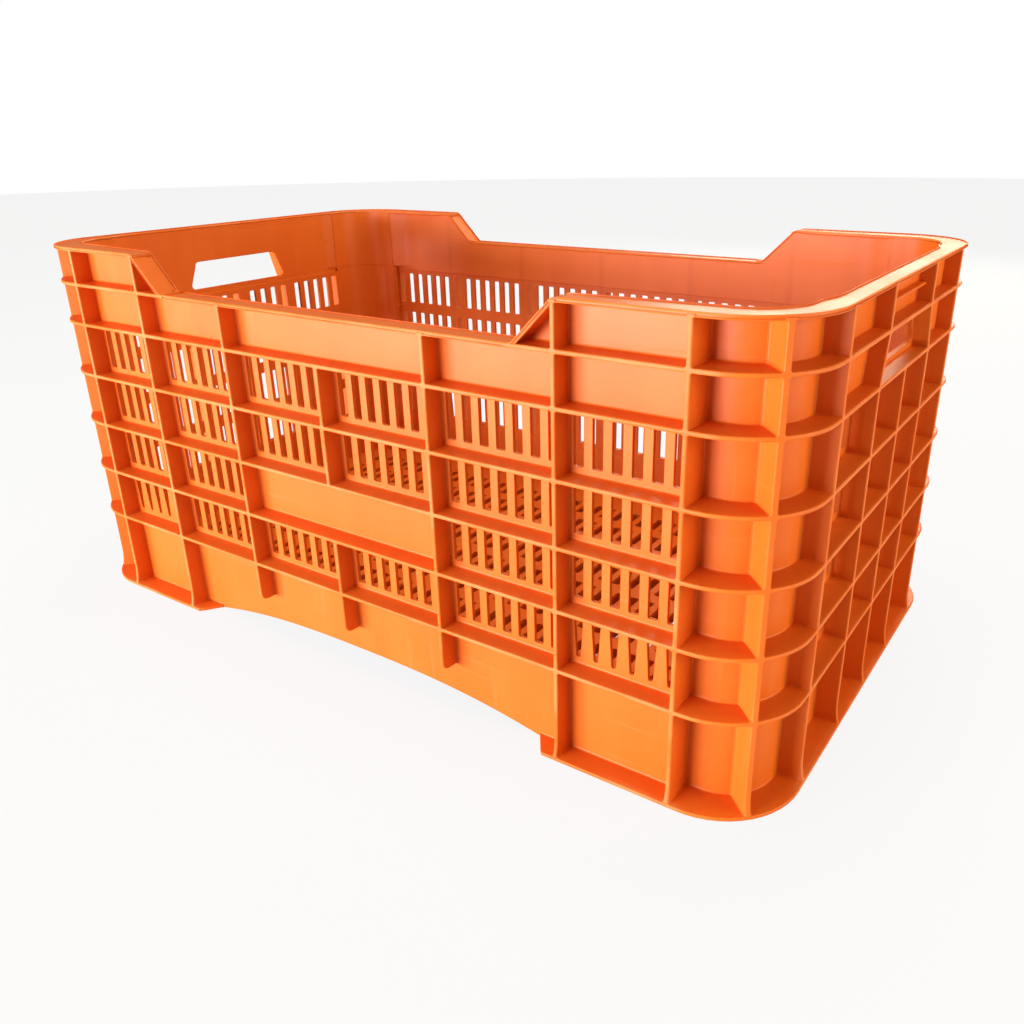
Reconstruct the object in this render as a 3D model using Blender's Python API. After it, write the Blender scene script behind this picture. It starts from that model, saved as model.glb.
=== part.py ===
"""Ventilated, open-topped stacking crate of orange polyethylene.

The real crate is one injection moulding.  It is divided here at its moulding regions:
slotted walls, flanges, upright ribs, corner posts, hand-hold frames, foot flange, floor.

Frame: +X to the right end wall, -Y to the front long wall, +Z up.
Origin: middle of the rectangle that the foot flange stands on.
Dimensions below are millimetres and become metres where each mesh is made.
"""
import math

import bmesh
import bpy
from mathutils import Matrix

MM = 0.001
GAP = 0.3                    # clearance between neighbouring pieces

# overall outline of the flanges and of the ribs' outer edges
HALF_X = 280.0
HALF_Y = 165.0
CORNER_R = 46.0
HEIGHT = 253.5
FOOT_PROUD = 2.3             # how far the foot flange stands out of the outline
FOOT_T = 2.3

# flanges and ribs
FLANGE_T = 2.4
RIB_T = 2.7
LEVELS = (228.8, 201.5, 165.3, 129.2, 93.1, 57.0)       # flange centres, top to bottom
RIM_Z = HEIGHT - FLANGE_T
RIB_FOOT = FOOT_T + GAP
TAIL_Z = 29.0                # where the middle ribs stop above the arch

# long walls
LONG_FACE = 153.0            # outer face of the slotted wall
LONG_BACK = 150.3
LONG_END = 226.5             # the wall stops here against a corner post
RIB_X = (-160.0, -80.0, 0.0, 80.0, 160.0)
SLOT_W = 5.8
SLOT_PITCH = 10.83
SLOT_FOOT = 5.0              # slot's lower end above a flange's centre
SLOT_HEAD = 4.2              # slot's upper end below a flange's centre
NOTCH_X = 136.0              # half-length of the lowered rim
ARCH_X = 140.0
ARCH_Z = 11.5

# corner posts
POST_X = 226.8               # the post's outer upright along a long wall
POST_Y = 109.0               # the post's outer upright along an end wall
SHELL_X = 237.0
SHELL_Y = 117.0
SHELL_R = 30.0
SHELL_T = 3.0
DIAGONAL_T = 4.0

# end walls
END_FACE = 267.0
END_BACK = 264.3
END_HALF = 108.7
END_RIB_Y = (-51.2, 0.0, 51.2)
HANDLE_FACE = 270.5          # the wall beside and above the hand hole
HANDLE_BACK = 267.8
HOLE_Z = (205.5, 226.5)
HOLE_TOP = 41.0
HOLE_FOOT = 46.5

# floor
FLOOR_Z = (14.0, 17.0)
FLOOR_COLUMNS = 14
FLOOR_ROWS = 8
FLOOR_HOLE = (24.0, 22.0)
BEAM_Y = {"front": -72.0, "middle": 0.0, "back": 72.0}

AXES = {
    "X": Matrix(((0, 0, 1, 0), (1, 0, 0, 0), (0, 1, 0, 0), (0, 0, 0, 1))),
    "Y": Matrix(((1, 0, 0, 0), (0, 0, -1, 0), (0, 1, 0, 0), (0, 0, 0, 1))),
    "Z": Matrix.Identity(4),
}


def clear_scene():
    """Remove every object the new file came with."""
    for item in list(bpy.data.objects):
        bpy.data.objects.remove(item)


def new_collection(name):
    """Make a collection and hang it on the scene."""
    group = bpy.data.collections.new(name)
    bpy.context.scene.collection.children.link(group)
    return group


def plastic():
    """Orange polyethylene."""
    material = bpy.data.materials.new("orange_polyethylene")
    material.use_nodes = True
    shader = material.node_tree.nodes["Principled BSDF"]
    shader.inputs["Base Color"].default_value = (0.85, 0.17, 0.02, 1.0)
    shader.inputs["Roughness"].default_value = 0.38
    return material


def finish_mesh(name, mesh, group):
    """Weld the mesh, turn it outward and add it to a collection."""
    shape = bmesh.new()
    shape.from_mesh(mesh)
    bmesh.ops.remove_doubles(shape, verts=shape.verts, dist=0.00001)
    bmesh.ops.recalc_face_normals(shape, faces=shape.faces)
    shape.to_mesh(mesh)
    shape.free()
    piece = bpy.data.objects.new(name, mesh)
    group.objects.link(piece)
    if group is PARTS:
        mesh.materials.clear()
        mesh.materials.append(PLASTIC)
    return piece


def placed(axis, low, high):
    """Matrix that puts a flat outline's extrusion between low and high on an axis."""
    middle = (low + high) / 2.0 * MM
    if axis == "Y":
        middle = -middle
    return AXES[axis] @ Matrix.Translation((0.0, 0.0, middle))


def plate(name, axis, low, high, outlines):
    """Extrude a flat outline; the outlines after the first are holes."""
    curve = bpy.data.curves.new(name + "_outline", "CURVE")
    curve.dimensions = "2D"
    curve.fill_mode = "BOTH"
    curve.extrude = (high - low) / 2.0 * MM
    for outline in outlines:
        spline = curve.splines.new("POLY")
        spline.points.add(len(outline) - 1)
        for point, (u, v) in zip(spline.points, outline):
            point.co = (u * MM, v * MM, 0.0, 1.0)
        spline.use_cyclic_u = True
    flat = bpy.data.objects.new(name + "_curve", curve)
    bpy.context.scene.collection.objects.link(flat)
    bpy.context.view_layer.update()
    graph = bpy.context.evaluated_depsgraph_get()
    mesh = bpy.data.meshes.new_from_object(flat.evaluated_get(graph))
    mesh.transform(placed(axis, low, high))
    mesh.name = name
    bpy.data.objects.remove(flat)
    return finish_mesh(name, mesh, PARTS)


def prisms(name, axis, outline_ranges):
    """One cutter made of several extruded outlines that do not touch."""
    shape = bmesh.new()
    for outline, low, high in outline_ranges:
        rings = []
        for level in (low, high):
            matrix = placed(axis, level, level)
            rings.append([shape.verts.new(matrix @ Matrix.Translation((u * MM, v * MM, 0)).to_translation())
                          for u, v in outline])
        shape.faces.new(rings[0])
        shape.faces.new(rings[1])
        for k in range(len(outline)):
            after = (k + 1) % len(outline)
            shape.faces.new((rings[0][k], rings[0][after], rings[1][after], rings[1][k]))
    mesh = bpy.data.meshes.new(name)
    shape.to_mesh(mesh)
    shape.free()
    cutter = finish_mesh(name, mesh, CUTTERS)
    cutter.hide_render = True
    cutter.display_type = "WIRE"
    return cutter


def subtract(piece, cutter):
    """Cut one object out of another with an exact Boolean."""
    boolean = piece.modifiers.new("pockets", "BOOLEAN")
    boolean.operation = "DIFFERENCE"
    boolean.solver = "EXACT"
    boolean.object = cutter


def rectangle(u0, v0, u1, v1):
    """Four corners, anticlockwise."""
    return [(u0, v0), (u1, v0), (u1, v1), (u0, v1)]


def arc(centre_u, centre_v, radius, start, end, steps):
    """Points along an arc, angles in degrees."""
    points = []
    for k in range(steps + 1):
        angle = math.radians(start + (end - start) * k / steps)
        points.append((centre_u + radius * math.cos(angle), centre_v + radius * math.sin(angle)))
    return points


def mirrored(outline, sign_u, sign_v):
    """The outline reflected into another quadrant."""
    return [(u * sign_u, v * sign_v) for u, v in outline]


def slots(centres, z_low, z_high):
    """Upright slots between two flange centres."""
    half = SLOT_W / 2.0
    return [rectangle(u - half, z_low + SLOT_FOOT, u + half, z_high - SLOT_HEAD) for u in centres]


def spread(middle, count, pitch):
    """Evenly spaced places about a middle."""
    return [middle + (k - (count - 1) / 2.0) * pitch for k in range(count)]


def long_wall_slot_rows():
    """Slots of a long wall: seven to a bay, six beside each post, none behind the label plate."""
    side = (160.0 + 228.3) / 2.0
    holes = []
    for row in range(1, 5):
        centres = spread(-side, 6, SLOT_PITCH) + spread(side, 6, SLOT_PITCH)
        for bay in (-120.0, -40.0, 40.0, 120.0):
            if row == 3 and abs(bay) < 80.0:
                continue
            centres += spread(bay, 7, SLOT_PITCH)
        holes += slots(centres, LEVELS[row + 1], LEVELS[row])
    return holes


def long_wall(side, sign):
    """The slotted wall above the lowest flange."""
    outline = rectangle(-LONG_END, LEVELS[5] + GAP / 2, LONG_END, LEVELS[0] + FLANGE_T / 2)
    low, high = sorted((sign * LONG_FACE, sign * LONG_BACK))
    plate(side + "_wall", "Y", low, high, [outline] + long_wall_slot_rows())


def skirt(side, sign):
    """The plain foot of a long wall with its shallow arch."""
    top = LEVELS[5] - GAP / 2
    outline = [(LONG_END, top), (-LONG_END, top), (-LONG_END, RIB_FOOT)]
    for k in range(-12, 13):
        x = ARCH_X * math.sin(math.radians(k * 90.0 / 12.0))
        z = ARCH_Z * (1.0 - (abs(x) / ARCH_X) ** 2.6)
        if z > RIB_FOOT:
            outline.append((x, z))
        elif k == -12 or k == 12:
            outline.append((math.copysign(ARCH_X * 0.905, k), RIB_FOOT))
    outline.append((LONG_END, RIB_FOOT))
    low, high = sorted((sign * LONG_FACE, sign * LONG_BACK))
    plate(side + "_skirt", "Y", low, high, [outline])


def shoulder(side, sign, hand, hand_sign):
    """The raised rim beside the notch: sloped edge, rim, upright and pockets."""
    foot = LEVELS[0] + FLANGE_T / 2 + GAP
    rise = HEIGHT - foot
    slope_x = NOTCH_X + GAP
    outline = [(slope_x, foot), (LONG_END, foot), (LONG_END, HEIGHT), (slope_x + rise, HEIGHT)]
    low, high = sorted((sign * HALF_Y, sign * LONG_BACK))
    name = side + "_shoulder_" + hand
    piece = plate(name, "Y", low, high, [mirrored(outline, hand_sign, 1)])
    inner = slope_x + FLANGE_T * math.sqrt(2.0)
    rib = RIB_X[4] - RIB_T / 2
    under = foot - 1.0
    triangle = [(inner - 1.0, under), (rib, under), (rib, foot + rib - inner)]
    pocket = rectangle(RIB_X[4] + RIB_T / 2, under, POST_X + 1.0, RIM_Z)
    low, high = sorted((sign * LONG_FACE, sign * (HALF_Y + 1.0)))
    shapes = [(mirrored(shape, hand_sign, 1), low, high) for shape in (triangle, pocket)]
    subtract(piece, prisms(name + "_pockets", "Y", shapes))


def rib_table():
    """Uprights of a long wall: name, place and height range."""
    top = LEVELS[0] - FLANGE_T / 2 - GAP
    under = FLANGE_T / 2 + GAP
    return (
        ("1", RIB_X[0], RIB_FOOT, top),
        ("2", RIB_X[1], TAIL_Z, top),
        ("3_upper", RIB_X[2], LEVELS[3] + under, LEVELS[1] - under),
        ("3_lower", RIB_X[2], TAIL_Z, LEVELS[4] - under),
        ("4", RIB_X[3], TAIL_Z, top),
        ("5", RIB_X[4], RIB_FOOT, top),
    )


def crossings(z_low, z_high):
    """Flange levels that an upright passes."""
    return [z for z in LEVELS if z_low < z - FLANGE_T and z_high > z + FLANGE_T]


def long_ribs(side, sign):
    """Uprights, halved at every flange they pass."""
    outer = HALF_Y
    inner = LONG_FACE + GAP
    joint = (outer + inner) / 2.0 - GAP / 2
    reach = FLANGE_T / 2 + GAP
    for label, x, z_low, z_high in rib_table():
        outline = [(inner, z_high), (inner, z_low), (outer, z_low)]
        for z in sorted(crossings(z_low, z_high)):
            outline += [(outer, z - reach), (joint, z - reach), (joint, z + reach), (outer, z + reach)]
        outline.append((outer, z_high))
        plate(side + "_rib_" + label, "X", x - RIB_T / 2, x + RIB_T / 2, [mirrored(outline, sign, 1)])


def long_flanges(side, sign):
    """Long flanges, halved at every upright that passes them."""
    outer = HALF_Y
    inner = LONG_FACE + GAP
    joint = (outer + inner) / 2.0 + GAP / 2
    reach = RIB_T / 2 + GAP
    for number, z in enumerate(LEVELS, start=1):
        outline = [(LONG_END, outer), (-LONG_END, outer), (-LONG_END, inner)]
        for label, x, z_low, z_high in rib_table():
            if z in crossings(z_low, z_high):
                outline += [(x - reach, inner), (x - reach, joint), (x + reach, joint), (x + reach, inner)]
        outline.append((LONG_END, inner))
        name = side + "_flange_" + str(number)
        plate(name, "Z", z - FLANGE_T / 2, z + FLANGE_T / 2, [mirrored(outline, 1, sign)])


def flank_angle(offset):
    """Angle about the shell's centre where a flank of the diagonal rib meets the shell."""
    du = HALF_X - CORNER_R - SHELL_X - offset / math.sqrt(2.0)
    dv = HALF_Y - CORNER_R - SHELL_Y + offset / math.sqrt(2.0)
    half_b = (du + dv) / 2.0
    along = -half_b + math.sqrt(half_b ** 2 - (du * du + dv * dv - SHELL_R ** 2) / 2.0)
    return math.degrees(math.atan2(dv + along, du + along))


def flank_end(offset, distance):
    """Point on a flank of the diagonal rib, at a distance from the outline's corner centre."""
    u = HALF_X - CORNER_R + (distance - offset) / math.sqrt(2.0)
    v = HALF_Y - CORNER_R + (distance + offset) / math.sqrt(2.0)
    return (u, v)


def post_outline(inner_radius, grow):
    """Plan of a corner post in the first quadrant."""
    corner = arc(HALF_X - CORNER_R, HALF_Y - CORNER_R, CORNER_R + grow, 90.0, 0.0, 8)
    back = arc(SHELL_X, SHELL_Y, inner_radius, 0.0, 90.0, 6)
    return [(POST_X, HALF_Y + grow)] + corner + [(HALF_X + grow, POST_Y), (SHELL_X + inner_radius, POST_Y)] \
        + back + [(POST_X, SHELL_Y + inner_radius)]


def post_pockets():
    """Plans of the two pockets in each row of a post, in the first quadrant."""
    half = DIAGONAL_T / 2.0
    far = CORNER_R + 14.0
    upright_x = POST_X + 3.0
    upright_y = POST_Y + 3.0
    long_side = [(upright_x, HALF_Y + 5.0), (upright_x, SHELL_Y + SHELL_R)]
    long_side += arc(SHELL_X, SHELL_Y, SHELL_R, 90.0, flank_angle(half), 3)
    long_side += [flank_end(half, far)]
    end_side = [(HALF_X + 5.0, upright_y), (SHELL_X + SHELL_R, upright_y)]
    end_side += arc(SHELL_X, SHELL_Y, SHELL_R, 0.0, flank_angle(-half), 4)
    end_side += [flank_end(-half, far)]
    return long_side, end_side


def row_ranges():
    """Clear height between neighbouring flanges, bottom row first."""
    half = FLANGE_T / 2
    heights = sorted(LEVELS)
    ranges = [(RIB_FOOT - 1.5, heights[0] - half)]
    for low, high in zip(heights, heights[1:]):
        ranges.append((low + half, high - half))
    ranges.append((heights[-1] + half, RIM_Z))
    return ranges


def corner_post(name, sign_x, sign_y):
    """Corner post: shell, uprights, diagonal rib and flanges, by cutting pockets from a block."""
    outline = mirrored(post_outline(SHELL_R - SHELL_T, 0.0), sign_x, sign_y)
    piece = plate(name, "Z", RIB_FOOT, HEIGHT, [outline])
    shapes = []
    for pocket in post_pockets():
        for low, high in row_ranges():
            shapes.append((mirrored(pocket, sign_x, sign_y), low, high))
    subtract(piece, prisms(name + "_pockets", "Z", shapes))


def foot_corner(name, sign_x, sign_y):
    """Foot flange round a corner, tapering away where the arch begins."""
    shell = post_outline(SHELL_R - SHELL_T, FOOT_PROUD)
    start = [(POST_X, LONG_BACK), (142.0, LONG_BACK), (142.0, LONG_FACE), (150.0, HALF_Y + FOOT_PROUD)]
    outline = start + shell[1:]
    plate(name, "Z", 0.0, FOOT_T, [mirrored(outline, sign_x, sign_y)])


def foot_end(name, sign):
    """Straight foot flange under an end wall."""
    low, high = sorted((sign * END_BACK, sign * (HALF_X + FOOT_PROUD)))
    plate(name, "Z", 0.0, FOOT_T, [rectangle(low, -END_HALF, high, END_HALF)])


def end_wall(name, sign):
    """Slotted end wall below the hand hole."""
    holes = []
    for row in range(1, 5):
        centres = []
        for middle, count in ((-80.85, 5), (-25.6, 4), (25.6, 4), (80.85, 5)):
            centres += spread(middle, count, 11.3)
        holes += slots(centres, LEVELS[row + 1], LEVELS[row])
    outline = rectangle(-END_HALF, RIB_FOOT, END_HALF, LEVELS[1] + FLANGE_T / 2)
    low, high = sorted((sign * END_FACE, sign * END_BACK))
    plate(name, "X", low, high, [outline] + holes)


def end_ribs(name, sign):
    """Flanges and uprights of an end wall below the hand hole, as one lattice."""
    half = FLANGE_T / 2
    edge = END_RIB_Y[2] + RIB_T / 2
    heights = LEVELS[1:]
    side = []
    for z in heights:
        side += [(edge, z + half), (END_HALF, z + half), (END_HALF, z - half), (edge, z - half)]
    side = side[1:] + [(edge, RIB_FOOT)]
    outline = list(side)
    ceiling = heights[-1] - half
    for y in (END_RIB_Y[2], 0.0, END_RIB_Y[0]):
        outline.append((y + RIB_T / 2, RIB_FOOT))
        outline.append((y - RIB_T / 2, RIB_FOOT))
        if y > END_RIB_Y[0]:
            outline.append((y - RIB_T / 2, ceiling))
            outline.append((y - END_RIB_Y[2] + RIB_T / 2, ceiling))
    outline = [point for k, point in enumerate(outline) if point != outline[k - 1]]
    outline += mirrored(reversed(side[:-1]), -1, 1)
    holes = []
    for upper, lower in zip(heights, heights[1:]):
        for y in (-END_RIB_Y[2], 0.0):
            holes.append(rectangle(y + RIB_T / 2, lower + half, y + END_RIB_Y[2] - RIB_T / 2, upper - half))
    low, high = sorted((sign * (END_FACE + GAP), sign * HALF_X))
    plate(name, "X", low, high, [outline] + holes)


def handle_wall(name, sign):
    """Upper end wall with the hand hole."""
    outline = rectangle(-END_HALF, LEVELS[1] + half_flange() + GAP, END_HALF, HEIGHT)
    hole = []
    for y, z in ((HOLE_FOOT, HOLE_Z[0]), (HOLE_TOP, HOLE_Z[1])):
        for sign_y in (-1, 1):
            hole.append((y * sign_y, z))
    hole = [hole[0], hole[1], hole[3], hole[2]]
    low, high = sorted((sign * HANDLE_FACE, sign * HANDLE_BACK))
    plate(name, "X", low, high, [outline, hole])


def half_flange():
    """Half a flange's thickness."""
    return FLANGE_T / 2


def handle_frame(name, sign):
    """Rim, flange under the rail and the splayed uprights beside the hand hole."""
    foot = LEVELS[1] + half_flange() + GAP
    upper = LEVELS[0] + half_flange()
    lower = LEVELS[0] - half_flange()
    top_y = 43.0
    foot_y = 50.0
    thick = RIB_T
    side = [(END_HALF, HEIGHT), (END_HALF, RIM_Z), (top_y + thick, RIM_Z), (top_y + thick, upper),
            (END_HALF, upper), (END_HALF, lower), (top_y + thick, lower), (foot_y + thick, foot),
            (foot_y, foot), (top_y, lower)]
    outline = side + mirrored(reversed(side), -1, 1)
    rail = rectangle(-top_y, upper, top_y, RIM_Z)
    low, high = sorted((sign * (HANDLE_FACE + GAP), sign * HALF_X))
    plate(name, "X", low, high, [outline, rail])


def handle_bar(name, sign):
    """Small stiffening bar along the rail above the hand hole."""
    low, high = sorted((sign * (HANDLE_FACE + GAP), sign * 275.0))
    plate(name, "X", low, high, [rectangle(-43.0 + GAP, 239.0, 43.0 - GAP, 241.0)])


def floor_grid():
    """Ventilated floor plate, stepped in at the corner posts."""
    reach = SHELL_R - SHELL_T - GAP
    quadrant = [(LONG_END, LONG_BACK - GAP), (LONG_END, SHELL_Y + reach)]
    quadrant += arc(SHELL_X, SHELL_Y, reach, 90.0, 0.0, 6)
    outline = []
    for sign_x, sign_y in ((1, 1), (1, -1), (-1, -1), (-1, 1)):
        points = mirrored(quadrant, sign_x, sign_y)
        outline += points if sign_x == sign_y else list(reversed(points))
    holes = []
    for x in spread(0.0, FLOOR_COLUMNS, 35.0):
        for y in spread(0.0, FLOOR_ROWS, 33.0):
            holes.append(rectangle(x - FLOOR_HOLE[0] / 2, y - FLOOR_HOLE[1] / 2,
                                   x + FLOOR_HOLE[0] / 2, y + FLOOR_HOLE[1] / 2))
    plate("floor_grid", "Z", FLOOR_Z[0], FLOOR_Z[1], [outline] + holes)


def floor_beams():
    """Shallow beams along the underside of the floor."""
    for label, y in BEAM_Y.items():
        outline = rectangle(-262.0, y - 1.5, 262.0, y + 1.5)
        plate("floor_beam_" + label, "Z", 5.0, FLOOR_Z[0] - GAP, [outline])


def build():
    """Make every piece of the crate."""
    floor_grid()
    floor_beams()
    for side, sign in (("front", -1), ("back", 1)):
        long_wall(side, sign)
        skirt(side, sign)
        long_ribs(side, sign)
        long_flanges(side, sign)
        for hand, hand_sign in (("left", -1), ("right", 1)):
            shoulder(side, sign, hand, hand_sign)
            corner_post("corner_post_" + side + "_" + hand, hand_sign, sign)
            foot_corner("foot_flange_" + side + "_" + hand, hand_sign, sign)
    for side, sign in (("left", -1), ("right", 1)):
        end_wall(side + "_end_wall", sign)
        end_ribs(side + "_end_ribs", sign)
        handle_wall(side + "_handle_wall", sign)
        handle_frame(side + "_handle_frame", sign)
        handle_bar(side + "_handle_bar", sign)
        foot_end("foot_flange_" + side + "_end", sign)


clear_scene()
PARTS = new_collection("ventilated_stacking_crate")
CUTTERS = new_collection("cutters")
PLASTIC = plastic()
build()
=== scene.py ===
"""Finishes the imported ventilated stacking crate: moulded walls, ribs, rim, floor, plastic and studio."""
import math

import bmesh
import bpy
import numpy as np
from bpy.props import FloatProperty, FloatVectorProperty, PointerProperty
from bpy.types import Operator, Panel, PropertyGroup
from mathutils import Matrix, Vector


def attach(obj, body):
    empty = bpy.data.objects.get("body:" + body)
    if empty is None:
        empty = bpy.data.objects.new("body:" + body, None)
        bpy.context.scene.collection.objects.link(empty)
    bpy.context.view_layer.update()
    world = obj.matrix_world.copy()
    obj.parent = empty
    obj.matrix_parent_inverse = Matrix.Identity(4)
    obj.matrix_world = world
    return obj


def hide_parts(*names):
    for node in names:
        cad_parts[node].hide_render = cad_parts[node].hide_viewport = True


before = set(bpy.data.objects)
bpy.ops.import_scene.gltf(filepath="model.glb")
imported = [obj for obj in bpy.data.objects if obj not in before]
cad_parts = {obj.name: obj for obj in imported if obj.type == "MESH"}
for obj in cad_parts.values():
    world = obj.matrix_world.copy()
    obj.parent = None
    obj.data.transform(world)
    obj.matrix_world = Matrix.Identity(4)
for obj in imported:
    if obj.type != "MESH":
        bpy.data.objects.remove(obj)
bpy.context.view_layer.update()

bl_info = {
    "name": "Ventilated stacking crate",
    "version": (1, 0, 0),
    "blender": (4, 5, 0),
    "location": "View3D > Sidebar > Crate",
    "description": "Builds a one-piece moulded, open-topped crate over its packed frame",
    "category": "Add Mesh",
}

MM = 0.001
PLASTIC_NAME = "moulded orange polyethylene"
NODES = sorted(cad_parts)

# Sizes of the moulding, in millimetres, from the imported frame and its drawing.
HALF_X = 280.0
HALF_Y = 165.0
CORNER_X = 234.0
CORNER_Y = 119.0
CORNER_R = 46.0
TOP = 253.5
LEVELS = (228.8, 201.5, 165.3, 129.2, 93.1, 57.0)
LONG_FACE = 153.0
END_FACE = 267.0
UPPER_END_FACE = 270.5
SHELL_X = 237.0
SHELL_Y = 117.0
SHELL_R = 30.0
SHELL_FACE = SHELL_Y + SHELL_R
LONG_RIBS = (-228.3, -160.0, -80.0, 0.0, 80.0, 160.0, 228.3)
END_RIBS = (-110.5, -51.2, 0.0, 51.2, 110.5)
NOTCH_X = 136.0
ARCH_X = 140.0
ARCH_Z = 11.5
TAIL_Z = 29.0
FOOT_Z = 1.15
FOOT_START = 141.5
FOOT_FLARE = 2.3
FLARE_HEIGHT = 16.0
TAIL_RADIUS = 5.0
TIP_GAP = 0.06
HALF_FLANGE = 1.15
ROOT_EXTRA = 0.5
FOOT_WALL = 2.7
BAND_WALL = 3.4
BAND_FOOT = 200.9
NOTCH_LAP = 0.6
HAND_HOLD_WALL = 2.6
HAND_RIB_LEAN = 0.28
RAIL_BAR_Z = 240.0
BAND_INNER = 149.6
END_INNER = 268.0
LINING_INSET = 2.6
SHELL_WALL = 2.3
RIM_THICKNESS = 2.5
RIM_EDGE = 0.8
LONG_SLOT_PITCH = 10.83
END_SLOT_PITCH = 11.3
SLOT_FOOT = 5.0
SLOT_HEAD = 4.2
HOLE_TOP_HALF = 41.0
HOLE_FOOT_HALF = 46.8
HAND_RIB_V = 43.5
FLOOR_TOP = 17.0
FLOOR_DEPTH = 8.0
FLOOR_SLOT_HALF_WIDTH = 3.1
FLOOR_SLOT_HALF_LENGTH = 11.0
FLOOR_PITCH_X = 35.0
FLOOR_PITCH_Y = 33.0
FLOOR_HALF_X = 264.3
FLOOR_HALF_Y = 150.2
FLOOR_RIB_ROOT = 14.2
FLOOR_RIB_DROP = 8.6
RIB_TOP = TOP - 1.2
ROOT_EMBED = 1.6
UP = (0.0, 0.0, 1.0)


# ---------------------------------------------------------------- settings

class CrateSizes(PropertyGroup):
    """Thicknesses and edge radii of the moulding."""
    flange: FloatProperty(name="Flange", description="Thickness of the horizontal flanges at the tip",
                          default=0.0023, min=0.001, max=0.004, unit="LENGTH")
    upright: FloatProperty(name="Upright", description="Thickness of the upright ribs at the tip",
                           default=0.0025, min=0.001, max=0.004, unit="LENGTH")
    wall: FloatProperty(name="Slotted wall", description="Thickness of the slotted walls",
                        default=0.0024, min=0.001, max=0.0035, unit="LENGTH")
    edge: FloatProperty(name="Edge radius", description="Radius of the tips of flanges and ribs",
                        default=0.0008, min=0.0002, max=0.0011, unit="LENGTH")
    fillet: FloatProperty(name="Fillet", description="Radius where a flange or rib meets a wall",
                          default=0.0009, min=0.0003, max=0.003, unit="LENGTH")
    slot: FloatProperty(name="Slot width", description="Width of the ventilation slots",
                        default=0.0058, min=0.004, max=0.008, unit="LENGTH")


class CrateColours(PropertyGroup):
    """Colours and gloss of the plastic."""
    plastic: FloatVectorProperty(name="Plastic", description="Main colour of the polyethylene",
                                 default=(0.69, 0.140, 0.014), subtype="COLOR", min=0.0, max=1.0)
    deep: FloatVectorProperty(name="Deep tone", description="Tone of the flow marks",
                              default=(0.65, 0.116, 0.008), subtype="COLOR", min=0.0, max=1.0)
    # Used for the real scratches and rubbed wear, and also as the painted highlight on the outer tips and the
    # rim top.
    scuff_and_highlight: FloatVectorProperty(name="Scuff", description="Tone of rubbed tips and fine scratches",
                               default=(0.72, 0.26, 0.085), subtype="COLOR", min=0.0, max=1.0)
    gloss: FloatProperty(name="Roughness", description="Roughness of the clean surface",
                         default=0.42, min=0.1, max=0.8, subtype="FACTOR")


class StageSettings(PropertyGroup):
    """Studio lights and the viewpoint."""
    key: FloatProperty(name="Key light", description="Power of the large light at the front left",
                       default=84.0, min=0.0, max=200.0)
    overhead: FloatProperty(name="Overhead light", description="Power of the light above the mouth",
                            default=20.0, min=0.0, max=200.0)
    fill: FloatProperty(name="Fill light", description="Power of the light at the right and rear",
                        default=30.0, min=0.0, max=200.0)
    rear: FloatProperty(name="Rear light", description="Power of the light behind the crate",
                        default=27.0, min=0.0, max=200.0)
    sky: FloatProperty(name="Surroundings", description="Strength of the white surroundings",
                       default=0.30, min=0.0, max=3.0)
    eye: FloatVectorProperty(name="Viewpoint", description="Where the camera stands",
                             default=(0.3858, -0.5033, 0.3228), subtype="TRANSLATION")
    aim: FloatVectorProperty(name="Aim", description="Heading, downward tilt and roll of the camera",
                             default=(34.16, 23.05, -0.8155))


# ---------------------------------------------------------------- mesh code

def loft(rings, closed=False):
    """Skin over a stack of like rings; the two end rings are capped unless the stack closes on itself."""
    rows, columns, _ = rings.shape
    i, j = np.meshgrid(np.arange(rows if closed else rows - 1), np.arange(columns), indexing="ij")
    a = (i + 1) % rows
    b = (j + 1) % columns
    quads = np.stack((i * columns + j, i * columns + b, a * columns + b, a * columns + j), -1)
    faces = quads.reshape(-1, 4).tolist()
    if not closed:
        faces.append(list(range(columns))[::-1])
        faces.append([(rows - 1) * columns + k for k in range(columns)])
    return rings.reshape(-1, 3), faces


def joined(bodies):
    """One list of points and faces from several bodies."""
    points, faces, count = [], [], 0
    for body_points, body_faces in bodies:
        points.append(body_points)
        faces += [[k + count for k in face] for face in body_faces]
        count += len(body_points)
    return np.concatenate(points), faces


def turned(points, quarter):
    """Wall space to crate space: u along the wall, d outward, z up, turned by quarter turns about Z."""
    u, d, z = points[..., 0], points[..., 1], points[..., 2]
    turn = quarter * math.pi / 2.0
    cosine, sine = round(math.cos(turn)), round(math.sin(turn))
    return np.stack((u * cosine + d * sine, u * sine - d * cosine, z), -1)


def make_piece(name, bodies, stands_for, weld=False, sharp=32.0):
    """Turn bodies into one object that rides on the root body and takes the place of CAD nodes."""
    points, faces = joined(bodies)
    mesh = bpy.data.meshes.new(name)
    mesh.from_pydata((points * MM).tolist(), [], faces)
    shape = bmesh.new()
    shape.from_mesh(mesh)
    if weld:
        bmesh.ops.remove_doubles(shape, verts=shape.verts, dist=0.00002)
    else:
        bmesh.ops.recalc_face_normals(shape, faces=shape.faces)
    shape.to_mesh(mesh)
    shape.free()
    mesh.shade_smooth()
    if not weld:
        mesh.set_sharp_from_angle(angle=math.radians(sharp))
    mesh.materials.append(bpy.data.materials[PLASTIC_NAME])
    piece = bpy.data.objects.new(name, mesh)
    bpy.context.scene.collection.objects.link(piece)
    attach(piece, "root")
    for node in stands_for:
        if node not in NODES:
            raise RuntimeError("the frame has no node " + node)
    if stands_for:
        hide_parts(*stands_for)
    return piece


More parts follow.
